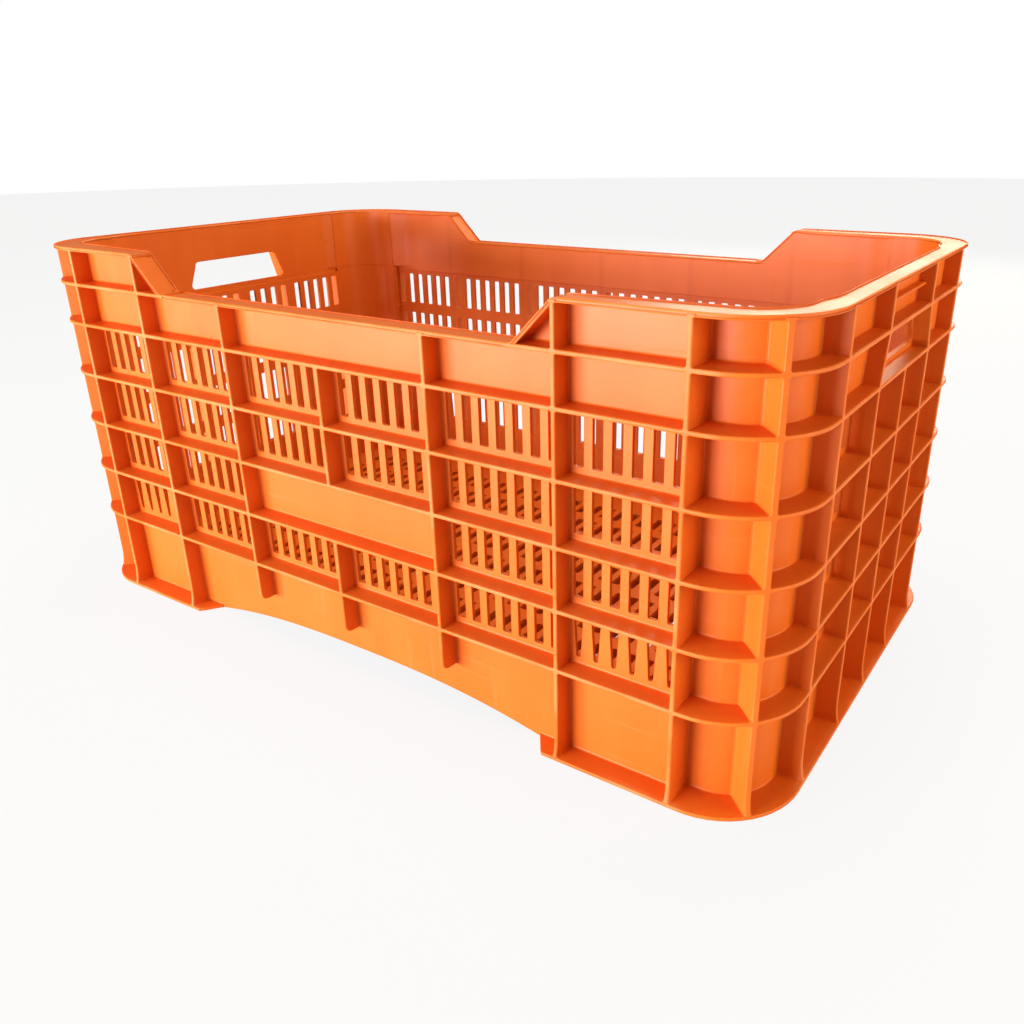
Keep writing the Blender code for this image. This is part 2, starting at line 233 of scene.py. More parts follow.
def thicken(piece, thickness, edge, segments=2):
    """Give a sheet its thickness on the inner side and round every edge."""
    solid = piece.modifiers.new("wall thickness", "SOLIDIFY")
    solid.thickness = thickness * MM
    solid.offset = -1.0
    bevel = piece.modifiers.new("moulded edges", "BEVEL")
    bevel.width = edge * MM
    bevel.segments = segments
    bevel.limit_method = "ANGLE"
    bevel.angle_limit = math.radians(35.0)
    bevel.harden_normals = True


def flatten_normals(piece):
    """Weight the shading by face area so that flat faces stay flat beside their rounded edges."""
    weigh = piece.modifiers.new("flat faces", "WEIGHTED_NORMAL")
    weigh.keep_sharp = True
    weigh.weight = 60


def smooth_step(x, start, end):
    """0 before start, 1 after end, and 3t^2 - 2t^3 between them."""
    t = np.clip((x - start) / (end - start), 0.0, 1.0)
    return t * t * (3.0 - 2.0 * t)


def arc(centre, radius, start, end, steps):
    """Points of an arc: centre plus radius times the cosine and sine of the angle, in degrees."""
    angle = np.radians(np.linspace(start, end, steps))
    return np.stack((centre[0] + radius * np.cos(angle), centre[1] + radius * np.sin(angle)), -1)


def blade_section(reach, root, tip, edge, over, under):
    """Ring of a rib or flange as (outward, across) pairs, one ring per station.

    Its thickness runs evenly from root to tip.  The tip's two corners are quarter circles of the edge
    radius, and each root corner is a hollow quarter circle of its fillet radius, which then dips into
    the wall by ROOT_EMBED.
    """
    reach = np.atleast_1d(reach).astype(float)
    root = np.broadcast_to(root, reach.shape)
    tip = np.broadcast_to(tip, reach.shape)
    hollow = np.radians(np.linspace(180.0, 90.0, 4))
    round_off = np.radians(np.linspace(0.0, 90.0, 4))
    out, across = [], []
    for sign, fillet, order in ((-1.0, under, 1), (1.0, over, -1)):
        half_root = root / 2.0
        half_tip = tip / 2.0
        o = [np.full_like(reach, -ROOT_EMBED)]
        c = [half_root + fillet]
        for angle in hollow:
            o.append(np.full_like(reach, fillet + fillet * math.cos(angle)))
            c.append(half_root + fillet - fillet * math.sin(angle))
        for angle in round_off[::-1]:
            o.append(reach - edge + edge * math.cos(angle))
            c.append(half_tip - edge + edge * math.sin(angle))
        out.append(np.stack(o, -1)[:, ::order])
        across.append(sign * np.stack(c, -1)[:, ::order])
    return np.concatenate(out, 1), np.concatenate(across, 1)


def blade(foot, tip_points, across_axis, root, tip, edge, over, under, closed=False):
    """Carry the blade section along a path of root points and tip points."""
    span = tip_points - foot
    reach = np.linalg.norm(span, axis=1)
    outward = span / reach[:, None]
    out, across = blade_section(reach, root, tip, edge, over, under)
    along = out[..., None] * outward[:, None, :]
    sideways = across[..., None] * np.broadcast_to(across_axis, foot.shape)[:, None, :]
    return loft(foot[:, None, :] + along + sideways, closed)


# ---------------------------------------------------------------- plan and profile curves

def quarter_outline():
    """First quadrant of the flanges' outline with the wall face behind each point, as two point rows."""
    u = np.linspace(0.0, 226.0, 12)
    v = np.linspace(112.0, 0.0, 6)
    outline = np.concatenate((
        np.stack((u, np.full_like(u, HALF_Y)), -1),
        [(228.0, HALF_Y), (230.0, HALF_Y)],
        arc((CORNER_X, CORNER_Y), CORNER_R, 90.0, 0.0, 14),
        np.stack((np.full_like(v, HALF_X), v), -1)))
    face = np.concatenate((
        np.stack((u, np.full_like(u, LONG_FACE)), -1),
        [(228.0, LONG_FACE), (230.0, SHELL_FACE)],
        arc((SHELL_X, SHELL_Y), SHELL_R, 90.0, 0.0, 14),
        np.stack((np.full_like(v, END_FACE), v), -1)))
    return outline, face


def flipped(points, sign_x, sign_y):
    """The points mirrored into another quadrant: x and y times their signs."""
    result = points.copy()
    result[:, 0] *= sign_x
    result[:, 1] *= sign_y
    return result


def full_loop(quarter):
    """Mirror first-quadrant rows into a closed loop: front, right, back, left."""
    return np.concatenate((flipped(quarter, 1, -1)[:-1], quarter[::-1][:-1],
                           flipped(quarter, -1, 1)[:-1], flipped(quarter[::-1], -1, -1)[:-1]))


def lifted(points, z):
    """Plan points at a height."""
    return np.concatenate((points, np.broadcast_to(np.asarray(z, float).reshape(-1, 1), (len(points), 1))), 1)


def tangents(line):
    """Unit step along each point of a polyline."""
    step = np.gradient(line, axis=0)
    return step / np.linalg.norm(step, axis=1)[:, None]


def bent_line(corners, radii, steps=7):
    """Polyline whose inner corners are replaced by arcs, each tangent to its two legs."""
    corners = np.asarray(corners, float)
    points = [corners[0]]
    for before, corner, after, radius in zip(corners, corners[1:], corners[2:], radii):
        back = (before - corner) / np.linalg.norm(before - corner)
        ahead = (after - corner) / np.linalg.norm(after - corner)
        half = math.acos(float(np.clip(back @ ahead, -1.0, 1.0))) / 2.0
        centre = corner + (back + ahead) / np.linalg.norm(back + ahead) * radius / math.sin(half)
        start = corner + back * radius / math.tan(half)
        end = corner + ahead * radius / math.tan(half)
        first = math.atan2(*(start - centre)[::-1])
        turn = (math.atan2(*(end - centre)[::-1]) - first + math.pi) % (2.0 * math.pi) - math.pi
        angle = first + turn * np.linspace(0.0, 1.0, steps)
        points += list(centre + radius * np.stack((np.cos(angle), np.sin(angle)), -1))
    points.append(corners[-1])
    return np.array(points)


def rim_profile():
    """Top line of the rim along half a long wall, as (u, z): low in the notch, 45 degrees, then level."""
    low = LEVELS[0] + 1.2
    rise = TOP - low
    return bent_line([(0.0, low), (NOTCH_X, low), (NOTCH_X + rise, TOP), (231.0, TOP)], (4.5, 5.5))


def inner_line(u):
    """Plan line of the upper inner face in the first quadrant: behind u, round the corner, along the end.

    On either straight the depth eases by smooth_step from the corner's own face to the wall's.
    """
    radius = SHELL_R - LINING_INSET
    v = np.concatenate((np.linspace(114.0, 96.0, 7), np.linspace(80.0, 0.0, 5)))
    long_depth = BAND_INNER + (SHELL_Y + radius - BAND_INNER) * smooth_step(u, 208.0, 233.0)
    end_depth = END_INNER + (SHELL_X + radius - END_INNER) * smooth_step(v, 96.0, 114.0)
    return np.concatenate((np.stack((u, long_depth), -1),
                           arc((SHELL_X, SHELL_Y), radius, 90.0, 0.0, 16),
                           np.stack((end_depth, v), -1)))


def end_run(points):
    """A first-quadrant row of points carried on round one end: front, corner, end, corner, back."""
    return np.concatenate((flipped(points, 1, -1)[:-1], points[::-1]))


def slotted_sheet(left, right, middle, low, high, half_top, half_foot, hole_low, hole_high,
                  radius, steps, filled):
    """Sheet of rectangular cells, each with a round-cornered slot joined to the cell's border.

    Corner k of a slot is an arc of steps points.  The border ring has a point straight across from the
    first and the last of them, and the cell's own corner for those between, so neighbouring cells share
    their border points.  A filled cell keeps its slot ring and closes it with one flat face.
    """
    values = np.broadcast_arrays(*(np.asarray(v, float) for v in (
        left, right, middle, low, high, half_top, half_foot, hole_low, hole_high)))
    left, right, middle, low, high, half_top, half_foot, hole_low, hole_high = values
    inner, outer = [], []
    for side, level, half, base, start in (
            (1, -1, half_foot, hole_low, -90.0), (1, 1, half_top, hole_high, 0.0),
            (-1, 1, half_top, hole_high, 90.0), (-1, -1, half_foot, hole_low, 180.0)):
        centre_u = middle + side * (half - radius)
        centre_z = base - level * radius
        edge_u = right if side > 0 else left
        edge_z = high if level > 0 else low
        angles = np.radians(start + np.linspace(0.0, 90.0, steps))
        for k, angle in enumerate(angles):
            inner.append(np.stack((centre_u + radius * math.cos(angle),
                                   centre_z + radius * math.sin(angle)), -1))
            on_level = (k == 0) == (side * level < 0)
            if 0 < k < steps - 1:
                share = abs(k - (steps - 1) / 2.0) / ((steps - 1) / 2.0)
                toward_u = edge_u + (centre_u - edge_u) * share
                toward_z = edge_z + (centre_z - edge_z) * share
                first = k < (steps - 1) / 2.0
                along_level = first == (side * level < 0)
                outer.append(np.stack((toward_u if along_level else edge_u,
                                       edge_z if along_level else toward_z), -1))
            elif on_level:
                outer.append(np.stack((centre_u, edge_z), -1))
            else:
                outer.append(np.stack((edge_u, centre_z), -1))
    inner = np.stack(inner, 1)
    outer = np.stack(outer, 1)
    cells, ring, _ = inner.shape
    points = np.concatenate((inner, outer), 1).reshape(-1, 2)
    k = np.arange(ring)
    n = (k + 1) % ring
    quad = np.stack((k, k + ring, n + ring, n), -1)
    faces = (quad[None] + (np.arange(cells) * 2 * ring)[:, None, None]).reshape(-1, 4).tolist()
    for cell in np.flatnonzero(np.broadcast_to(filled, (cells,))):
        faces.append((k + cell * 2 * ring).tolist())
    return points, faces


def bay_cells(ribs, counts, pitch):
    """Slot centres and cell edges of each bay between ribs: even pitch, outer cells reaching the ribs."""
    left, right, middle = [], [], []
    for start, end, count in zip(ribs, ribs[1:], counts):
        centres = (start + end) / 2.0 + (np.arange(count) - (count - 1) / 2.0) * pitch
        edges = np.concatenate(([start], (centres[1:] + centres[:-1]) / 2.0, [end]))
        left.append(edges[:-1])
        right.append(edges[1:])
        middle.append(centres)
    return np.concatenate(left), np.concatenate(right), np.concatenate(middle)


def wall_points(points, depth):
    """Flat (along, up) points placed in wall space at a depth."""
    return np.stack((points[:, 0], np.full(len(points), depth), points[:, 1]), -1)


def slot_rows(ribs, counts, pitch, half, plain_middle, taper):
    """The four slotted rows of a wall as one sheet, bottom row first."""
    left, right, middle = bay_cells(ribs, counts, pitch)
    bodies = []
    for row in (4, 3, 2, 1):
        low, high = LEVELS[row + 1], LEVELS[row]
        filled = (np.abs(middle) < 80.0) if (plain_middle and row == 3) else np.zeros(len(middle), bool)
        foot = np.where((np.abs(middle) > 165.0) & (row == 4) & taper, half * 0.45, half)
        bodies.append(slotted_sheet(left, right, middle, low, high, half, foot, low + SLOT_FOOT,
                                    high - SLOT_HEAD, 0.9, 3, filled))
    return joined(bodies)


def stood_sheet(name, sheet, depth, quarter, thickness, edge, nodes):
    """One flat sheet placed in wall space at a depth, turned to its wall and given its thickness inward."""
    points, faces = sheet
    place = turned(wall_points(points, depth), quarter)
    thicken(make_piece(name, [(place, faces)], nodes, weld=True), thickness, edge)


class CRATE_OT_slotted_walls(Operator):
    """Slotted sheets of the four walls"""
    bl_idname = "crate.slotted_walls"
    bl_label = "Slotted walls"

    def execute(self, context):
        sizes = context.scene.crate_sizes
        half = sizes.slot / MM / 2.0
        wall = sizes.wall / MM
        rows = slot_rows(LONG_RIBS, (6, 7, 7, 7, 7, 6), LONG_SLOT_PITCH, half, True, True)
        for name, quarter in (("front", 0), ("back", 2)):
            stood_sheet(name + "_slotted_wall", rows, LONG_FACE, quarter, wall, 0.35, [name + "_wall"])
        rows = slot_rows(END_RIBS, (5, 4, 4, 5), END_SLOT_PITCH, half, False, False)
        for name, quarter in (("right", 1), ("left", 3)):
            stood_sheet(name + "_slotted_wall", rows, END_FACE, quarter, wall, 0.35, [name + "_end_wall"])
        return {"FINISHED"}


def grid_sheet(u, low, high, rows):
    """Sheet between two curves over u, cut into level rows."""
    share = np.linspace(0.0, 1.0, rows)
    z = low[None, :] + (high - low)[None, :] * share[:, None]
    points = np.stack((np.broadcast_to(u, z.shape), z), -1).reshape(-1, 2)
    i, j = np.meshgrid(np.arange(rows - 1), np.arange(len(u) - 1), indexing="ij")
    n = len(u)
    faces = np.stack((i * n + j, i * n + j + 1, (i + 1) * n + j + 1, (i + 1) * n + j), -1)
    return points, faces.reshape(-1, 4).tolist()


def arch_line(u):
    """Lower edge of a long wall: a shallow arch, ARCH_Z times one less the 2.6th power of u over ARCH_X."""
    return np.maximum(ARCH_Z * (1.0 - (np.abs(u) / ARCH_X) ** 2.6), 0.1)


class CRATE_OT_plain_walls(Operator):
    """Plain feet of the walls, with the arch of each long wall, and the plain upper bands"""
    bl_idname = "crate.plain_walls"
    bl_label = "Plain walls"

    def execute(self, context):
        low = LEVELS[0]
        rise = TOP - low - 1.25
        shoulder = NOTCH_X + NOTCH_LAP
        foot_u = np.unique(np.concatenate((np.linspace(-ARCH_X, ARCH_X, 45),
                                           [LONG_RIBS[0], -184.0, 184.0, LONG_RIBS[-1]])))
        foot = grid_sheet(foot_u, arch_line(foot_u), np.full_like(foot_u, LEVELS[5]), 3)
        band_u = np.unique(np.concatenate((np.linspace(-shoulder, shoulder, 9),
                                           [-shoulder - rise, shoulder + rise, -228.0, 228.0])))
        crest = low + np.clip(np.abs(band_u) - shoulder, 0.0, rise)
        band = grid_sheet(band_u, np.full_like(band_u, BAND_FOOT), crest, 4)
        for name, quarter in (("front", 0), ("back", 2)):
            stood_sheet(name + "_foot_wall", foot, LONG_FACE, quarter, FOOT_WALL, 0.5, [name + "_skirt"])
            stood_sheet(name + "_upper_band", band, LONG_FACE, quarter, BAND_WALL, 0.6,
                        [name + "_shoulder_left", name + "_shoulder_right"])
        half = END_RIBS[-1]
        end_u = np.linspace(-half, half, 9)
        foot = grid_sheet(end_u, np.full_like(end_u, 0.1), np.full_like(end_u, LEVELS[5]), 3)
        hole = slotted_sheet([-half], [half], [0.0], [201.5], [252.0], [HOLE_TOP_HALF], [HOLE_FOOT_HALF],
                             [205.3], [226.4], 3.5, 7, False)
        for name, quarter in (("right", 1), ("left", 3)):
            stood_sheet(name + "_foot_wall", foot, END_FACE, quarter, FOOT_WALL, 0.5, [])
            stood_sheet(name + "_hand_hold", hole, UPPER_END_FACE, quarter, HAND_HOLD_WALL, 0.8,
                        [name + "_handle_wall"])
        return {"FINISHED"}


def long_quarter(first_u, grow, end_face):
    """First-quadrant stations from first_u on: tips on the outline, moved out by grow, and wall roots."""
    outline, face = quarter_outline()
    keep = outline[:, 0] > first_u + 0.5
    outline = np.concatenate(([(first_u, HALF_Y)], outline[keep]))
    face = np.concatenate(([(first_u, LONG_FACE)], face[keep]))
    on_end = (face[:, 0] > END_FACE - 0.01) & (face[:, 1] < 108.0)
    face[:, 0] = np.where(on_end, end_face, face[:, 0])
    step = outline - face
    step /= np.linalg.norm(step, axis=1)[:, None]
    return outline + step * grow, face


def end_paths(outline, face, z, sign):
    """Root points and tip points of a flange round one end, mirrored through the middle for the left end."""
    return [flipped(lifted(end_run(points), z), sign, sign) for points in (face, outline)]


class CRATE_OT_flanges(Operator):
    """Horizontal flanges that run round the crate, tips rounded and roots filleted"""
    bl_idname = "crate.flanges"
    bl_label = "Flanges"

    def execute(self, context):
        sizes = context.scene.crate_sizes
        tip, edge, fillet = sizes.flange / MM, sizes.edge / MM, sizes.fillet / MM
        outline, face = long_quarter(0.0, 0.0, END_FACE)
        for number, z in enumerate(LEVELS[1:], start=2):
            feet, tips = (lifted(full_loop(points), z) for points in (face, outline))
            body = blade(feet, tips, UP, tip + ROOT_EXTRA, tip, edge, fillet, 0.8 * fillet, closed=True)
            nodes = ["front_flange_%d" % number, "back_flange_%d" % number]
            if number == 2:
                nodes += ["left_end_ribs", "right_end_ribs"]
            flatten_normals(make_piece("flange_%d" % number, [body], nodes))
        outline, face = long_quarter(NOTCH_X - 4.0, 0.0, UPPER_END_FACE)
        for name, sign in (("right", 1), ("left", -1)):
            feet, tips = end_paths(outline, face, LEVELS[0], sign)
            body = blade(feet, tips, UP, tip + 0.4, tip, edge, fillet, 0.8 * fillet)
            nodes = ["front_flange_1"] if sign > 0 else ["back_flange_1"]
            flatten_normals(make_piece("flange_1_" + name, [body], nodes))
        return {"FINISHED"}


class CRATE_OT_foot_flange(Operator):
    """Foot flange round each end, running out beside the arches"""
    bl_idname = "crate.foot_flange"
    bl_label = "Foot flange"

    def execute(self, context):
        sizes = context.scene.crate_sizes
        outline, face = long_quarter(FOOT_START, FOOT_FLARE, END_FACE)
        depth = outline[:, 1] - LONG_FACE
        share = np.array([0.06, 0.35, 0.8, 1.0])
        start_u = FOOT_START + np.array([0.0, 3.0, 7.5, 10.0])
        start = np.stack((start_u, LONG_FACE + depth[0] * share), -1)
        start_face = np.stack((start_u, np.full(4, LONG_FACE)), -1)
        beyond = outline[:, 0] > start_u[-1] + 1.0
        outline = np.concatenate((start, outline[beyond]))
        face = np.concatenate((start_face, face[beyond]))
        for name, sign in (("right", 1), ("left", -1)):
            feet, tips = end_paths(outline, face, FOOT_Z, sign)
            reach = np.linalg.norm(tips - feet, axis=1)
            body = blade(feet, tips, UP, 2.2, 2.2, 0.7, np.minimum(sizes.fillet / MM, reach * 0.15), 0.03)
            nodes = ["foot_flange_front_" + name, "foot_flange_back_" + name, "foot_flange_" + name + "_end"]
            flatten_normals(make_piece("foot_flange_" + name, [body], nodes))
        return {"FINISHED"}


def rounded_bar(inner, outer, normal, thickness, radius, steps=4):
    """Rounded rectangle from an inner to an outer edge line, its top on the lines, carried round a loop."""
    span = outer - inner
    width = np.linalg.norm(span, axis=1)
    outward = span / width[:, None]
    out, down = [], []
    angles = np.radians(np.linspace(0.0, 90.0, steps))
    for out_side, top_side, order in ((1, 1, 1), (1, 0, -1), (0, 0, 1), (0, 1, -1)):
        for angle in angles[::-order]:
            o = radius - radius * math.sin(angle)
            h = radius - radius * math.cos(angle)
            out.append(width - o if out_side else np.full_like(width, o))
            down.append(np.full_like(width, -h if top_side else h - thickness))
    out = np.stack(out, -1)
    down = np.stack(down, -1)
    return inner[:, None, :] + out[..., None] * outward[:, None, :] + down[..., None] * normal[:, None, :]


class CRATE_OT_rim(Operator):
    """Rim round the mouth, dipping at 45 degrees into the notch of each long wall"""
    bl_idname = "crate.rim"
    bl_label = "Rim"

    def execute(self, context):
        line = rim_profile()
        step = tangents(line)
        inner = inner_line(line[:, 0])
        v = inner[len(line) + 16:, 1]
        outer = np.concatenate((np.stack((line[:, 0], np.full(len(line), HALF_Y)), -1),
                                arc((CORNER_X, CORNER_Y), CORNER_R, 90.0, 0.0, 16),
                                np.stack((np.full_like(v, HALF_X), v), -1)))
        z = np.concatenate((line[:, 1], np.full(len(outer) - len(line), TOP)))
        normal = np.zeros((len(outer), 3))
        normal[:, 2] = 1.0
        normal[:len(line), 0] = -step[:, 1]
        normal[:len(line), 2] = step[:, 0]
        inner, outer = (full_loop(lifted(points, z)) for points in (inner, outer))
        rings = rounded_bar(inner, outer, full_loop(normal), RIM_THICKNESS, RIM_EDGE)
        flatten_normals(make_piece("rim", [loft(rings, closed=True)], [], sharp=40.0))
        return {"FINISHED"}


def swell(z, radius):
    """Extra half thickness of an upright beside each flange: a hollow quarter circle of the fillet radius."""
    levels = np.array(LEVELS + (FOOT_Z, RIB_TOP))
    gap = np.min(np.abs(z[:, None] - levels[None, :]) - HALF_FLANGE, axis=1)
    gap = np.clip(gap, 0.0, radius)
    return radius - np.sqrt(radius ** 2 - (radius - gap) ** 2)


def upright_stations(low, high, radius):
    """Heights at which an upright's section is set: close together beside each flange and near the foot."""
    near = HALF_FLANGE + radius * np.array([0.0, 0.12, 0.35, 0.7, 1.0])
    marks = [low, high]
    for level in LEVELS + (FOOT_Z, RIB_TOP):
        marks += list(level + near) + list(level - near)
    marks += [4.0, 7.0, 10.0, 14.0, 18.0, low + 0.3, low + 1.0, low + 2.4, low + 5.0]
    marks = np.unique(np.round(np.array(marks), 2))
    return marks[(marks >= low) & (marks <= high)]


def foot_flare(z):
    """How far rib tips stand out near the foot: the square of the share of FLARE_HEIGHT still below z."""
    return FOOT_FLARE * np.clip((FLARE_HEIGHT - z) / FLARE_HEIGHT, 0.0, 1.0) ** 2


def upright(u, face, low, high, sizes, tip_depth, tail=False, lean=0.0):
    """Upright rib in wall space, filleted to the wall and to every flange.

    Its roots stand on the face and its tips at tip_depth plus the foot flare, both moving along the wall by
    lean for each unit below the top.  A tail's tip draws in along a quarter circle of TAIL_RADIUS.
    """
    radius = sizes.fillet / MM
    z = upright_stations(low, high, radius)
    depth = tip_depth - TIP_GAP + foot_flare(z)
    if tail:
        missing = np.clip(TAIL_RADIUS - (z - low), 0.0, TAIL_RADIUS)
        depth = depth - (TAIL_RADIUS - np.sqrt(TAIL_RADIUS ** 2 - missing ** 2))
    along = u + lean * (high - z)
    foot = np.stack((along, np.full_like(z, face), z), -1)
    tips = np.stack((along, depth, z), -1)
    tip = sizes.upright / MM + 2.0 * swell(z, radius)
    return blade(foot, tips, (1.0, 0.0, 0.0), tip + ROOT_EXTRA, tip, sizes.edge / MM, radius, radius)


def wall_piece(name, bodies, quarter, nodes):
    """One piece from bodies in wall space, turned to their wall."""
    placed = [(turned(points, quarter), faces) for points, faces in bodies]
    flatten_normals(make_piece(name, placed, nodes))


class CRATE_OT_uprights(Operator):
    """Upright ribs of the long walls and the end walls"""
    bl_idname = "crate.uprights"
    bl_label = "Uprights"

    def execute(self, context):
        sizes = context.scene.crate_sizes
        for side, quarter in (("front", 0), ("back", 2)):
            for name, u, low, high, tail in (
                    ("1", -160.0, 1.0, RIB_TOP, False), ("2", -80.0, TAIL_Z, LEVELS[0], True),
                    ("3_upper", 0.0, LEVELS[3], LEVELS[1], False), ("3_lower", 0.0, TAIL_Z, LEVELS[4], True),
                    ("4", 80.0, TAIL_Z, LEVELS[0], True), ("5", 160.0, 1.0, RIB_TOP, False)):
                body = upright(u, LONG_FACE, low, high, sizes, HALF_Y, tail)
                wall_piece(side + "_upright_" + name, [body], quarter, [side + "_rib_" + name])
        for side, quarter in (("right", 1), ("left", 3)):
            bodies = [upright(v, END_FACE, 1.0, LEVELS[1], sizes, HALF_X) for v in END_RIBS[1:4]]
            for v, lean in ((-HAND_RIB_V, -HAND_RIB_LEAN), (HAND_RIB_V, HAND_RIB_LEAN)):
                bodies.append(upright(v, UPPER_END_FACE, LEVELS[0], RIB_TOP, sizes, HALF_X))
                bodies.append(upright(v, UPPER_END_FACE, LEVELS[1], LEVELS[0], sizes, HALF_X, lean=lean))
            wall_piece(side + "_end_uprights", bodies, quarter, [side + "_handle_frame"])
            v = np.linspace(-43.0, 43.0, 5)
            foot = np.stack((v, np.full(5, UPPER_END_FACE), np.full(5, RAIL_BAR_Z)), -1)
            body = blade(foot, foot + (0.0, 4.5, 0.0), UP, 2.4, 1.8, 0.7, 1.0, 1.0)
            wall_piece(side + "_rail_bar", [body], quarter, [side + "_handle_bar"])
        return {"FINISHED"}


def shell_ring():
    """Plan ring of a corner shell in the first quadrant: outer face, then inner face back again."""
    outer, inner = (np.concatenate(([(226.9, SHELL_FACE - inset), (231.0, SHELL_FACE - inset)],
                                    arc((SHELL_X, SHELL_Y), SHELL_R - inset, 90.0, 0.0, 20),
                                    [(END_FACE - inset, 108.7)])) for inset in (0.0, SHELL_WALL))
    return np.concatenate((outer, inner[::-1]))


def plan_loft(ring, heights):
    """A plan ring stood up through heights, one like ring at each, skinned and capped."""
    return loft(np.stack([lifted(ring, z) for z in heights]))


def corner_bodies(sizes):
    """Shell, inner lining, step, uprights and diagonal rib of the corner post in the first quadrant."""
    bodies = [plan_loft(shell_ring(), (0.1, 60.0, 130.0, 200.0, 251.5))]
    line = inner_line(np.concatenate(([205.0], np.linspace(210.0, 231.0, 7))))
    line = line[line[:, 1] > 79.0]
    step = tangents(line)
    back = line + np.stack((-step[:, 1], step[:, 0]), -1) * 1.3
    skin = np.concatenate((line, back[::-1]))
    lip = np.concatenate((line + (back - line) * 0.5, back[::-1]))
    rings = [lifted(lip, 203.8)] + [lifted(skin, z) for z in (204.6, 228.0, 251.8)]
    bodies.append(loft(np.stack(rings)))
    post = np.array([(227.2, 145.5), (229.2, 145.5), (229.2, 152.6), (227.2, 152.6)])
    bodies.append(plan_loft(post, (0.2, 120.0, 251.5)))
    radius = sizes.fillet / MM
    z = upright_stations(1.0, RIB_TOP, radius)
    extra = 2.0 * swell(z, radius)
    for foot_uv, tip_uv, across, tip in (
            ((228.3, SHELL_FACE), (228.3, HALF_Y), (1.0, 0.0, 0.0), sizes.upright / MM),
            ((END_FACE, 110.5), (HALF_X, 110.5), (0.0, 1.0, 0.0), sizes.upright / MM),
            ((255.57, 140.57), (266.53, 151.53), (0.7071, -0.7071, 0.0), 3.4)):
        direction = np.array(tip_uv) - np.array(foot_uv)
        direction = direction / np.linalg.norm(direction)
        foot = lifted(np.broadcast_to(foot_uv, (len(z), 2)), z)
        tips = lifted(np.array(tip_uv) + direction * (foot_flare(z) - TIP_GAP)[:, None], z)
        bodies.append(blade(foot, tips, across, tip + 0.6 + extra, tip + extra, min(0.8, tip * 0.45),
                            radius, radius))
    return bodies


class CRATE_OT_corner_posts(Operator):
    """Rounded corner posts with their uprights and diagonal ribs"""
    bl_idname = "crate.corner_posts"
    bl_label = "Corner posts"

    def execute(self, context):
        bodies = corner_bodies(context.scene.crate_sizes)
        for side, sign_y in (("front", -1), ("back", 1)):
            for hand, sign_x in (("left", -1), ("right", 1)):
                placed = [(flipped(points, sign_x, sign_y), faces) for points, faces in bodies]
                name = "corner_post_" + side + "_" + hand
                flatten_normals(make_piece(name + "_moulding", placed, [name]))
        return {"FINISHED"}


def floor_rib(run, level, turn, root, tip):
    """A thin rib hung under the floor, along X, or along Y when turn is -1."""
    plan = np.stack((run, np.full_like(run, level)), -1)[:, ::turn]
    foot = lifted(plan, FLOOR_RIB_ROOT)
    side = (0.0, 1.0, 0.0) if turn > 0 else (1.0, 0.0, 0.0)
    return blade(foot, foot - (0.0, 0.0, FLOOR_RIB_DROP), side, root, tip, 0.8, 1.5, 1.5)


class CRATE_OT_floor(Operator):
    """Floor of short slots with thin ribs and beams beneath it"""
    bl_idname = "crate.floor"
    bl_label = "Floor"

    def execute(self, context):
        x = (np.arange(42) - 20.5) * FLOOR_PITCH_X / 3.0
        y = (np.arange(8) - 3.5) * FLOOR_PITCH_Y
        x_edges = np.concatenate(([-FLOOR_HALF_X], (x[1:] + x[:-1]) / 2.0, [FLOOR_HALF_X]))
        y_edges = np.concatenate(([-FLOOR_HALF_Y], (y[1:] + y[:-1]) / 2.0, [FLOOR_HALF_Y]))
        j, i = np.meshgrid(np.arange(8), np.arange(42), indexing="ij")
        i, j = i.ravel(), j.ravel()
        points, faces = slotted_sheet(x_edges[i], x_edges[i + 1], x[i], y_edges[j], y_edges[j + 1],
                                      FLOOR_SLOT_HALF_WIDTH, FLOOR_SLOT_HALF_WIDTH,
                                      y[j] - FLOOR_SLOT_HALF_LENGTH, y[j] + FLOOR_SLOT_HALF_LENGTH,
                                      1.2, 3, False)
        offset = np.abs(points) - (SHELL_X, SHELL_Y)
        length = np.linalg.norm(offset, axis=1)
        limit = SHELL_R - 1.5
        outside = (offset > 0.0).all(1) & (length > limit)
        held = np.where(outside[:, None], np.sign(points) * ((SHELL_X, SHELL_Y) + offset
                        * (limit / np.maximum(length, 1e-6))[:, None]), points)
        deep = np.where(np.abs(held[:, 0]) > 226.0, 145.8, 150.8)
        held[:, 1] = np.clip(held[:, 1], -deep, deep)
        floor = make_piece("floor_lattice", [(lifted(held, FLOOR_TOP), faces)], ["floor_grid"], weld=True)
        thicken(floor, FLOOR_DEPTH, 0.4, 1)
        for label, levels in (("front", (-99.0, -66.0)), ("middle", (-33.0, 0.0, 33.0)),
                              ("back", (66.0, 99.0))):
            bodies = [floor_rib(np.linspace(-262.0, 262.0, 9), level, 1, 3.0, 2.2) for level in levels]
            if label == "middle":
                bodies += [floor_rib(np.linspace(-128.0, 128.0, 7), place * FLOOR_PITCH_X, -1, 2.9, 2.1)
                           for place in range(-6, 7)]
            flatten_normals(make_piece("floor_ribs_" + label, bodies, ["floor_beam_" + label]))
        return {"FINISHED"}


# ---------------------------------------------------------------- plastic

